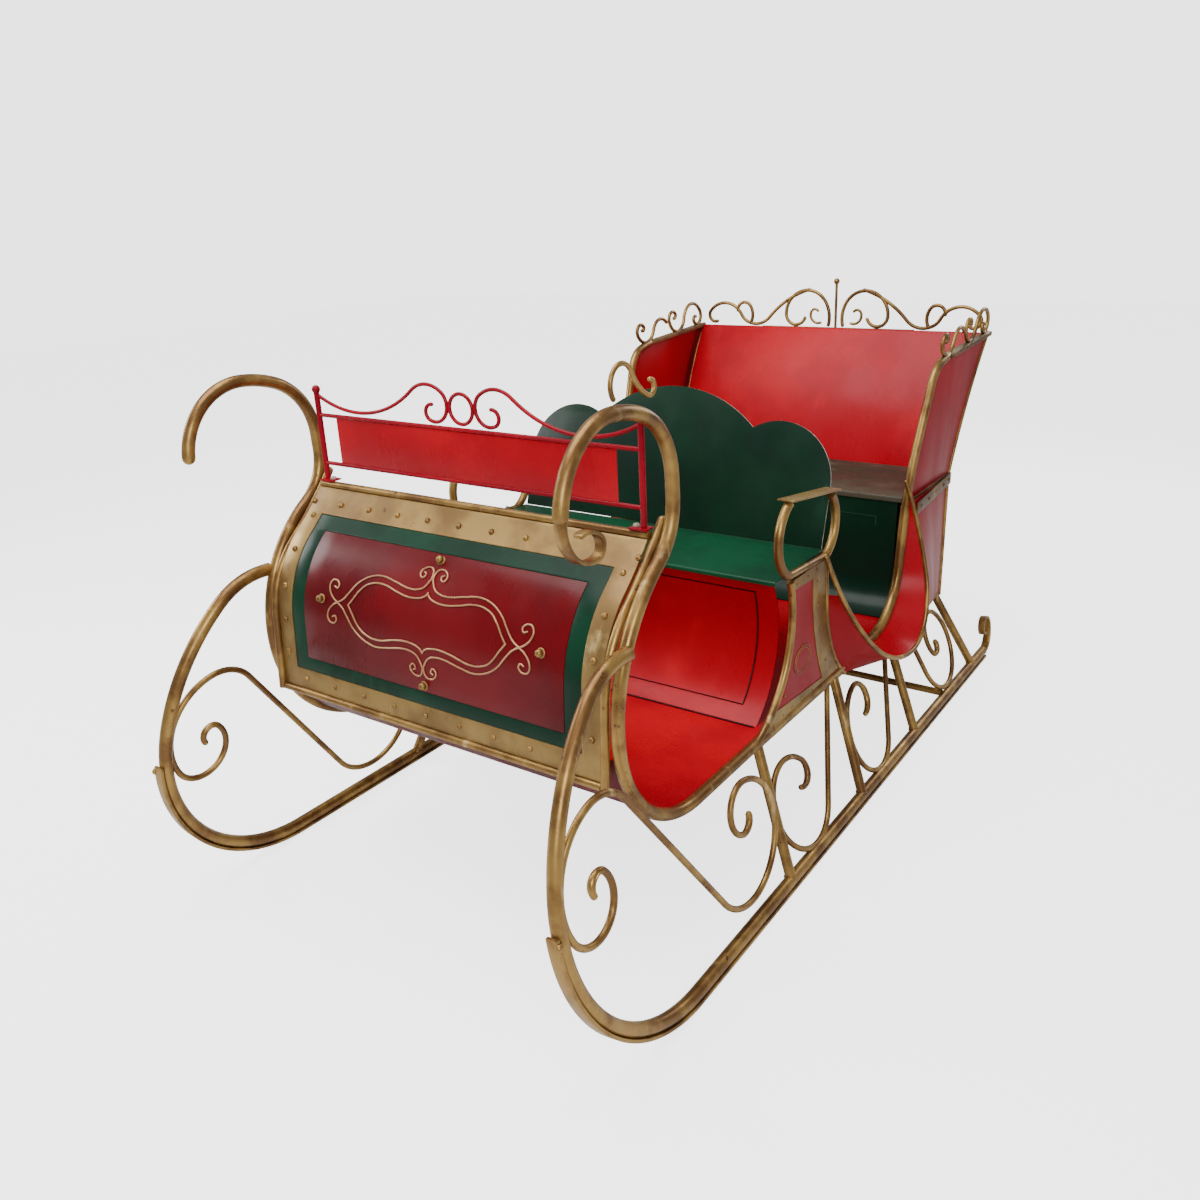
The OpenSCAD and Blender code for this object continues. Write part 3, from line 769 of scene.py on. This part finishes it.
# the boxes beside the front seat, a gold frame round a pink panel, and the armrests on them
seatBox = dict(front=((-409, floorZ - 3, 16), [[299, 93]]), rear=((7, 740, 276), [[146], [383, 46]]),
               window=[((-285, 406, 54), [[519, 36]]), ((-75, 706, 269), [[639, 30]])], heel=14,
               frame=(3, (0, 5)), panel=(4, (0, 2)), shadeSheet=(-6, (0, 2)), frontR=10, rearR=7)
oval = dict(u=-128, v=494, ru=52, rv=40, plate=(5, (0, 2.6)), wireX=7.2, wireR=1.3, wires=(0.98, 0.78))
boxRivets = dict(x=8.5, r=3.6, at=[
    (-352, 366), (-300, 372), (-245, 378), (-190, 380), (-130, 378), (-60, 372), (10, 366), (80, 352),
    (-236, 430), (-212, 500), (-204, 570), (-206, 640), (-212, 700), (-46, 690), (-44, 620), (-34, 550),
    (-12, 490), (22, 432), (60, 392), (-170, 722), (-110, 724), (-50, 724)])


def flatWalk(start, steps):
    return [p[:2] for p in walk(start, steps, 12)]


def offSide(x):
    return atSide(sideX + x)


windowLoop = [p for path in seatBox["window"] for p in flatWalk(*path)]
boxLoop = [(seatBox["front"][0][0], floorZ - seatBox["heel"])]
boxLoop += flatWalk(*seatBox["front"]) + flatWalk(*seatBox["rear"])
# the near-black sheet just inside each box is painted shade, seen as a dark gap beside the front seat
for name, part, loops, finish, nodes, edge in (
        ("seatBoxPlates", seatBox["frame"], [boxLoop, windowLoop], "goldSheet", ["seat_box_frames"], 0.8),
        ("seatBoxPanels", seatBox["panel"], [windowLoop], "pinkRed", ["seat_box_panels"], 0),
        ("seatBoxShadeSheets", seatBox["shadeSheet"], [boxLoop], "paintedShadeDark", (), 0)):
    twinPlates(name, offSide(part[0]), loops, part[1], finish, nodes, edge)
bars("seatBoxEdges", pair(offSide(4), walk(*seatBox["front"]), seatBox["frontR"])
     + pair(offSide(6), walk(*seatBox["rear"]), seatBox["rearR"]))
twinPlates("ovalPlates", offSide(oval["plate"][0]), [ring(oval["u"], oval["v"], oval["ru"], oval["rv"], 40)],
           oval["plate"][1], "pinkRed", edge=0.8)
bars("ovalRings", [line(onSide(offSide(oval["wireX"]), s),
                        ring(oval["u"], oval["v"], k * oval["ru"], k * oval["rv"], 40), oval["wireR"], closed=True)
                   for s in both for k in oval["wires"]], finish="goldSheet", facets=8)
studs("seatBoxRivets", [(onSide(offSide(boxRivets["x"]), s)(u, v), Vector((s, 0, 0)), boxRivets["r"])
                        for s in both for u, v in boxRivets["at"]], facets=12, flatness=0.55)
arm = dict(x=4, bars=[((-222, 760, 155), [[105, -128]], 12), ((8, 745, 22), [[96, 120]], 12),
                      ((-222, 758, -3.5), [[231]], 10)], plate=((-246, 962, -8), [[296]], 46, 5),
           boltIn=14, boltAt=(88, 872), boltR=7, screwsU=(-226, 30), screwTop=965, fall=0.14, screwR=5)
for label, side in sides.items():
    bars("armrest" + label, [line(onSide(offSide(arm["x"]), side), walk(a, b), r) for a, b, r in arm["bars"]],
         sideNode("armrest", label), facets=24)
twinStrips("armPlates", offSide(arm["x"]), arm["plate"], "goldSheet", ["arm_plates"], 1.6)
armSpots = [(onSide(offSide(arm["x"] - arm["boltIn"]), s)(*arm["boltAt"]), Vector((-s, 0, 0)), arm["boltR"])
            for s in both]
plateEnd = arm["plate"][0][0]
armSpots += [(onSide(offSide(arm["x"]), s)(u, arm["screwTop"] - (u - plateEnd) * arm["fall"]), straightUp,
              arm["screwR"]) for s in both for u in arm["screwsU"]]
studs("armBolts", armSpots, "oldGoldStrip", flatness=0.5)
print("armrests made")

# the rear seat between flared sides
rearPan = dict(y=(650, 1032), z=742, width=1028, lip=18, roll=5)
rearRiser = dict(start=(656, 723, -92), steps=[[255], [110, -80]], width=996)
rearY, flare = 1048, 3.6
bentPiece("rearRiser", *rearRiser.values(), sheet, "bottleGreen", ["rear_seat_riser"])
seatPan("rearPan", rearPan, "oliveBrown", "rear_seat_pan")
slope = math.tan(math.radians(flare))
backPath = walk((rearY - 10, waistZ, 74), [[1287, -23]], gap=12, turn=2)
backPath = [(*beside(p, sheet / 2), p[2]) for p in backPath]
bm = bmesh.new()
shell(bm, acrossGrid(backPath, lambda p: sideX - 5 + (p[1] - waistZ) * slope, even(-1, 1, 16)), sheet)
finishMesh("rearBack", bm, "brightRed", ["rear_back_panel"], 0.7)
onePlate("rearLowerPanel", atFront(rearY - 9), box((-520, 520), (285, 715)), (0, sheet), "darkRed",
         ["rear_lower_panel"], 0.7)
inRearSide = atLean(sideX, waistZ, -flare)
frontLine = walk((638, 0, 81), [[113], [300, -11], [208], [95, -58], [60]], 12)
rearLine = walk((rearY, 0, 74), [[1287, -23]], 12)
sideLoop = [p[:2] for p in frontLine + rearLine[::-1]]
for label, side in sides.items():
    place = onSide(inRearSide, side)
    onePlate("rearSide" + label, place, sideLoop, (0, sheet), "pinkRed", sideNode("rear_side", label), 0.7)
    bars("rearEdgeTube" + label, [line(place, frontLine, 13, tips=[0, 1])], sideNode("rear_edge_tube", label),
         facets=24)
bars("cornerPosts", pair(inRearSide, rearLine, 8, tips=[1])
     + pair(offSide(0), [(rearY, 283), (rearY, 500), (rearY, waistZ + 2)], 8), ["corner_posts"])
twinPlates("waistStraps", offSide(5), [box((628, 1056), (695, 733))], (-2, 2), "oldGoldStrip",
           ["waist_straps"], 1.2)
# the strap goes on over the skirt, out to the step's rim
overSkirt = dict(front=(566, 642), rear=(538, 1056), z=(694, 732), thick=3, rivets=(0.1, 0.32, 0.54, 0.76, 0.94),
                 rivetR=6.5, rivetOut=0.004)
bm = bmesh.new()
strapSpots = []
for s in both:
    (xa, ya), (xb, yb) = overSkirt["front"], overSkirt["rear"]
    a, b = Vector((xa * s, ya, 0)), Vector((xb * s, yb, 0))
    out = Vector(((yb - ya) * s, xa - xb, 0)).normalized()
    shell(bm, [[(a.lerp(b, t) + Vector((0, 0, z))) / 1000 for z in overSkirt["z"]] for t in even(0, 1, 6)],
          overSkirt["thick"] * s)
    up = straightUp * sum(overSkirt["z"]) / 2000
    strapSpots += [(a.lerp(b, t) / 1000 + up + out * overSkirt["rivetOut"], out, overSkirt["rivetR"])
                   for t in overSkirt["rivets"]]
finishMesh("skirtStraps", bm, "oldGoldStrip", (), 0.8)
studs("waistRivets", strapSpots, flatness=0.5)
topStrip = dict(width=26, thick=14, off=4, rivets=7, rivetR=3.5, rivetOff=17)
(fy, fz), (ry, rz) = frontLine[-1][:2], rearLine[-1][:2]
topTurn, topRun = math.degrees(math.atan2(rz - fz, ry - fy)), math.hypot(ry - fy, rz - fz)
sideOut = Vector((math.cos(math.radians(flare)), 0, -math.sin(math.radians(flare))))
bm = bmesh.new()
topSpots = []
for s in both:
    place = onSide(inRearSide, s)
    strip(bm, lambda u, v, w=0, place=place: place(u, v, w + topStrip["off"]), (fy, fz, topTurn), [[topRun]],
          topStrip["width"], topStrip["thick"])
    for k in range(topStrip["rivets"]):
        spot = stepEnd((fy, fz, topTurn), [topRun * (k + 0.5) / topStrip["rivets"]])
        aim = Vector((s * sideOut.x, 0, sideOut.z))
        topSpots.append((place(*spot[:2], topStrip["rivetOff"]), aim, topStrip["rivetR"]))
finishMesh("sideTopStrips", bm, "oldGoldStrip", ["side_top_strips"], 1.5)
studs("topStripRivets", topSpots, facets=12, flatness=0.5)
# a riveted dark strip inside each rear corner
corner = dict(gap=18, width=32, off=-0.6, thick=1.6, rivetIn=34, rivetOff=-3, rivetR=3.4)
bm = bmesh.new()
cornerSpots = []
for s in both:
    place = onSide(inRearSide, s)
    shell(bm, [[place(y - corner["gap"] - k, z, corner["off"]) for k in (0, corner["width"])]
               for y, z, heading in rearLine], -corner["thick"] * s)
    cornerSpots += [(place(y - corner["rivetIn"], z, corner["rivetOff"]), Vector((-s, 0, 0)), corner["rivetR"])
                    for y, z, heading in rearLine[1:-1]]
finishMesh("cornerStrips", bm, "darkRed", (), 0.4)
studs("cornerRivets", cornerSpots, "darkRed", facets=12, flatness=0.5)
print("rear seat made")

# the rear foot well swells out to a leaning rim
rim = dict(lean=13.5, out=200, start=(-21, 769, 284), steps=[[669, 33], [384, 42], [213, 84], [674, 26]], r=7)
inRim = atLean(sideX + rim["out"], 0, rim["lean"])
rimTurn = stepEnd(rim["start"], rim["steps"][0])
rimLow, rimBack = stepEnd(rimTurn, [384, 27]), stepEnd(stepEnd(rimTurn, rim["steps"][1]), [213, 51])
# each skin runs from one drawn edge to another: (place, start, steps) twice
skins = [("swellPanels", "pinkRed", "swell_panels", 2.4,
          (inRim, stepEnd(rim["start"], [669, 11]), [[669, 22], rim["steps"][1]]),
          (offSide(7), stepEnd(seatBox["rear"][0], [113]), [[33], [383, 46]])),
         ("swellSheets", "brightRed", "swell_sheets", 2.6,
          (offSide(0), (330, floorZ, 0), [[76], [204, 81], [193], [72]]),
          (inRim, rimLow, [[384, 15], [213, 84], [674, 26]])),
         ("rearSkirts", "pinkRed", "rear_skirts", 2.4,
          (inRim, rimBack, [[213, 33], [674, 20]]),
          (offSide(2), (rearY - 6, 290, 90), [[waistZ - 296]]))]
for name, finish, node, thick, *edgesOf in skins:
    bm = bmesh.new()
    for s in both:
        rows = [[onSide(place, s)(*p[:2]) for p in evenly(start, steps, 40)] for place, start, steps in edgesOf]
        shell(bm, [[a.lerp(b, t) for t in even(0, 1, 8)] for a, b in zip(*rows)], thick * s)
    finishMesh(name, bm, finish, [node], 0.5)
wellLoop = flatWalk((406, floorZ, 0), [[204, 81], [193]]) + [(700, 720), (700, floorZ)]
twinPlates("wellCorners", atSide(516), [wellLoop], (0, 2), "brightRed")
bars("stepRims", pair(inRim, walk(rim["start"], rim["steps"]), rim["r"], tips=[0, 1]), ["step_rims"], facets=18)
print("foot well made")

# scrollwork along the top of the rear seat
crest = dict(y=1291, z=floorZ + 827, r=6.5, stemR=5, stem=(-12, 60, 153), foot=((-300, 300), (-14, -8), (-4, 4)),
             knob=(158, 11))
inCrest = atFront(crest["y"])
halfCrest = [((-28, crest["z"], 77), [[114, 42], [86, 152], [40, 158]], crest["r"]),
             ((-108, crest["z"] + 128, 196), [[338, 33], [80, -79], [56, -32], [83, 112], [26, 150]], crest["r"]),
             ((-352, crest["z"], 60), [[62, 62], [30, 150]], crest["r"]),
             ((-60, crest["z"] + 8, 200), [[30, -130], [16, -120]], crest["stemR"])]
lines = [line(onSide(inCrest, s), walk(a, b), r, tips=[0, 1]) for s in both for a, b, r in halfCrest]
lines.append(line(inCrest, [(0, crest["z"] + v) for v in crest["stem"]], crest["stemR"]))
bars("rearCrest", lines, ["rear_crest"], facets=16)
footU, footV, footW = crest["foot"]
onePlate("crestFoot", inCrest, box(footU, [crest["z"] + v for v in footV]), footW, "goldTube", edge=1)
knobV, knobR = crest["knob"]
studs("crestFinial", [(inCrest(0, crest["z"] + knobV), straightUp, knobR)], facets=24, flatness=1)
sideScrolls = [((830, 484, 334), [[9, 162], [26, 170], [62, 121], [58, -112]]),
               ((1059, 503, 346), [[11, 157], [28, 145], [57, 146], [70, -131], [32, -165], [13, -159]])]
bars("sideCrests", [line(onSide(inRearSide, s), walk(a, b), crest["r"], w=2, tips=[0, 1])
                    for s in both for a, b in sideScrolls], ["side_crests"], facets=16)

# leaning posts and scrolls between the runners and the body, and the cross bar
iron = dict(lean=22, postR=14, scrollR=8, weldR=18, tipWide=20, frontTipWide=18, tipThick=4.5, barR=12,
            posts=[((-436, 6), (-376, 352)), ((38, 6), (105, 352)), ((476, 6), (516, 352)), ((1070, 6), (939, 352))])
inPosts = atLean(runner["track"] - 4, 30, iron["lean"])
scrollA = ((-1194, 438, 121), [[26, -170], [74, -195], [160, -105], [111, -66], [512], [152, 225],
                               [64, 170], [30, 120]])
scrollsB = [((54, 338, 233), [[341], [143, -121], [117, -158], [38, -162]]),
            ((504, 352, 235), [[356], [122, -127], [139, -100], [49, -180]]),
            ((629, 352, 285), [[241], [133, 216], [78, 168], [27, 160]])]
weldSpots = []
for label, side in sides.items():
    place, onRunner = onSide(inPosts, side), onSide(inRunner, side)
    bars("stanchions" + label, [line(place, ends, iron["postR"]) for ends in iron["posts"]],
         sideNode("stanchions", label), facets=24)
    bars("scrolls" + label, [line(where, walk(*path), iron["scrollR"], tips=[0, 1])
                             for where, path in [(onRunner, scrollA)] + [(place, path) for path in scrollsB]],
         sideNode("scrolls", label), facets=18)
    weldSpots += [(place(u, v - 2), straightUp, iron["weldR"]) for (u, v), top in iron["posts"]]
studs("postWelds", weldSpots, flatness=0.3)


def flatTip(bm, place, start, step, wide, thick):  # the bar's end hammered out into a ribbon
    path = walk(start, [step], gap=4)
    verts, n = [], len(path)
    rootW, rootD, spread = 7, 9, 0.45  # it leaves the round bar this wide and thick, and spreads over this share
    for i, p in enumerate(path):
        t = min(1, i / (spread * (n - 1)))
        w, d = rootW + (wide / 2 - rootW) * t, (rootD + (thick - rootD) * t) / 2
        for off, across in ((-d, -w), (d, -w), (d, w), (-d, w)):
            verts.append(place(*beside(p, off), across))
    joinInto(bm, verts, tubeFaces(n))


def lastBend(start, steps):  # where the last bend begins, and the bend
    for step in steps[:-1]:
        start = stepEnd(start, step)
    return start, steps[-1]


bm = bmesh.new()
for s in both:
    (radius, turn), (u, v, heading) = scrollA[1][0], stepEnd(scrollA[0], scrollA[1][0])
    flatTip(bm, onSide(inRunner, s), (u, v, heading + 180), [radius, -turn], iron["tipWide"], iron["tipThick"])
    flatTip(bm, onSide(inRunner, s), *lastBend(*scrollA), iron["frontTipWide"], iron["tipThick"])
    for path in scrollsB:
        flatTip(bm, onSide(inPosts, s), *lastBend(*path), iron["tipWide"], iron["tipThick"])
finishMesh("scrollTips", bm, "goldTube", (), 1)
bars("crossBar", [line(atFront(775), [(-648, 36), (0, 36), (648, 36)], iron["barR"])], ["cross_bar"], facets=24)
shoeEnd = walk(*shoePath)[-1]
knob = dict(back=16, out=15, r=9)
knobAt = stepEnd(shoeEnd, [-knob["back"]])[:2]
studs("shoeKnobs", [(place(*knobAt, knob["out"]), place(0, 0, 1) - place(0, 0, 0), knob["r"])
                    for place in (onSide(inRunner, s) for s in both)], flatness=0.7)
print("ironwork made")

# pressed lines on the two risers; the front one is near-black, painted shade of its groove
riserPath = walk(frontRiser["start"], frontRiser["steps"], gap=6, turn=2)
pressed = dict(x=430, r=2.2, frontZ=(392, 690), rearY=653.4, rearZ=(520, 668), footShadowX=486, footShadowR=3)


def riserAt(z):
    return beside(min(riserPath, key=lambda q: abs(q[1] - z)), -pressed["r"])


def lineInSpace(points, r, closed=True):
    return [line(lambda u, v, w=0: Vector(points[int(u)]) / 1000, [(k, 0) for k in range(len(points))], r,
                 closed=closed)]


rowsUp = even(*pressed["frontZ"], 24)
frontLoop = [(pressed["x"], *riserAt(z)) for z in rowsUp] + [(-pressed["x"], *riserAt(z)) for z in rowsUp[::-1]]
rearLoop = [(s * pressed["x"], pressed["rearY"], z) for s in both for z in pressed["rearZ"][::s]]
# a near-black bar along the front riser's foot is a painted shadow of the gap between riser and floor
foot = (riserPath[-1][0] + 2, floorZ + 4)
bars("frontRiserLine", lineInSpace(frontLoop, pressed["r"]), finish="paintedShadeDark", facets=8)
bars("rearRiserLine", lineInSpace(rearLoop, pressed["r"]), finish="bandGreen", facets=8)
footShadowLine = [(x, *foot) for x in (-pressed["footShadowX"], 0, pressed["footShadowX"])]
bars("frontRiserFootShadow", lineInSpace(footShadowLine, pressed["footShadowR"], False), finish="paintedShadeDark", facets=8)

# a pale floor and room, brighter to the camera than the light they throw back
stage = dict(half=14, drop=-0.001, floor=(0.82, 0.82, 0.81), floorRough=0.75, floorGlow=2.6,
             wall=(1.0, 1.0, 1.0), wallGlow=3.0, room=(0.88, 0.91, 0.96), roomLight=0.42)
ground = bpy.data.meshes.new("ground")
ground.from_pydata([(x * stage["half"], y * stage["half"], stage["drop"])
                    for x, y in ((-1, -1), (1, -1), (1, 1), (-1, 1))], [], [(0, 1, 2, 3)])
pale = bpy.data.materials.new("paleFloor")
pale.use_nodes = True
tree = pale.node_tree
shader = tree.nodes["Principled BSDF"]
setInputs(shader, {"Base Color": (*stage["floor"], 1), "Roughness": stage["floorRough"],
                   "Emission Color": (1, 1, 1, 1)})
seen = tree.nodes.new("ShaderNodeLightPath")
glow = tree.nodes.new("ShaderNodeMath")
glow.operation = "MULTIPLY"
glow.inputs[1].default_value = stage["floorGlow"]
tree.links.new(seen.outputs["Is Camera Ray"], glow.inputs[0])
tree.links.new(glow.outputs["Value"], shader.inputs["Emission Strength"])
ground.materials.append(pale)
groundPiece = bpy.data.objects.new("ground", ground)
link(groundPiece)

world = bpy.data.worlds.new("softRoom")
bpy.context.scene.world = world
world.use_nodes = True
tree = world.node_tree
room, wall = tree.nodes["Background"], tree.nodes.new("ShaderNodeBackground")
setInputs(room, {"Color": (*stage["room"], 1), "Strength": stage["roomLight"]})
setInputs(wall, {"Color": (*stage["wall"], 1), "Strength": stage["wallGlow"]})
blend = tree.nodes.new("ShaderNodeMixShader")
seen = tree.nodes.new("ShaderNodeLightPath")
tree.links.new(seen.outputs["Is Camera Ray"], blend.inputs["Fac"])
tree.links.new(room.outputs["Background"], blend.inputs[1])
tree.links.new(wall.outputs["Background"], blend.inputs[2])
tree.links.new(blend.outputs["Shader"], tree.nodes["World Output"].inputs["Surface"])
lamps = {"skyPanel": dict(at=(-0.4, -1.0, 4.2), to=(0, 0, 0.5), size=3.0, power=165),
         "frontPanel": dict(at=(2.6, -3.6, 2.6), to=(0, -0.4, 0.6), size=1.6, power=85),
         "leftPanel": dict(at=(-3.6, -1.8, 2.4), to=(0, -0.2, 0.7), size=1.4, power=65),
         "backPanel": dict(at=(0.8, 3.8, 2.6), to=(0, 0.3, 0.9), size=2.0, power=45)}
for name, lamp in lamps.items():
    data = bpy.data.lights.new(name, "AREA")
    data.size = lamp["size"]
    data.energy = lamp["power"]
    light = bpy.data.objects.new(name, data)
    light.location = lamp["at"]
    light.rotation_euler = (Vector(lamp["to"]) - Vector(lamp["at"])).to_track_quat("-Z", "Y").to_euler()
    link(light)

view = dict(lens=31.573, sensor=36, at=(1.6051, -2.5202, 1.6731), right=(0.81998, 0.57059, -0.04549),
            up=(-0.16959, 0.31807, 0.93278))
camera = bpy.data.objects.new("camera", bpy.data.cameras.new("camera"))
camera.data.lens = view["lens"]
camera.data.sensor_width = view["sensor"]
right, up = Vector(view["right"]), Vector(view["up"])
columns = (*right, 0), (*up, 0), (*right.cross(up), 0), (*view["at"], 1)
camera.matrix_world = Matrix(columns).transposed()
link(camera)
bpy.context.scene.camera = camera
print("stage ready;", len(shown), "pieces")
